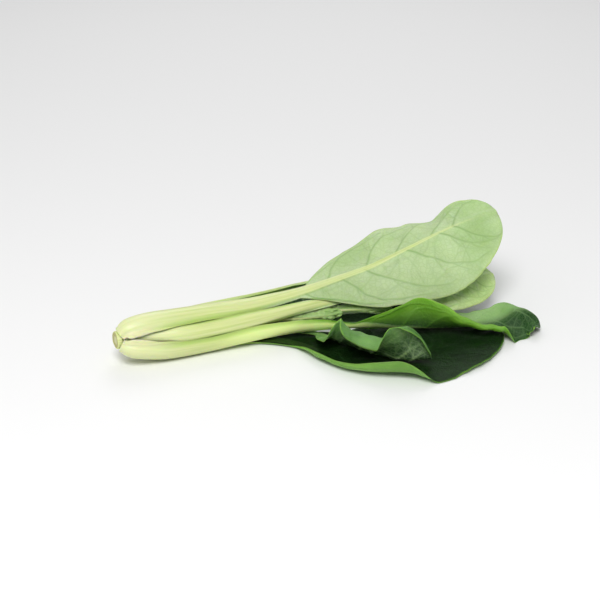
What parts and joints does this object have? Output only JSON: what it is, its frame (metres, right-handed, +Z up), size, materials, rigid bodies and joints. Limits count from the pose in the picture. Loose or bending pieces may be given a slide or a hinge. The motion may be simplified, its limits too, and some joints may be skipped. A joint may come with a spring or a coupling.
{
  "type": "choy sum head",
  "caption": "Head of choy sum lying on its side: pale overlapping stalks from a cut stem, oval leaves with raised veins and wavy edges.",
  "frame": {"origin": "middle of the bottom of the whole head's box, on the surface that it lies on", "axes": "+X runs from the cut stem to the leaf tips, +Z is up"},
  "size_m": [0.246, 0.1446, 0.059],
  "materials": {
    "cut_stem": "matt cut plant tissue",
    "leaf": "satin leaf, pale stalk and underside, dark upper face"
  },
  "bodies": {
    "root": {"stem_base": "cut_stem", "leaf_top": "leaf", "leaf_middle": "leaf", "leaf_low": "leaf", "leaf_floor": "leaf", "leaf_back_low": "leaf", "leaf_back_top": "leaf", "leaf_curled": "leaf", "heart_front": "leaf", "heart_back": "leaf"}
  },
  "joints": []
}
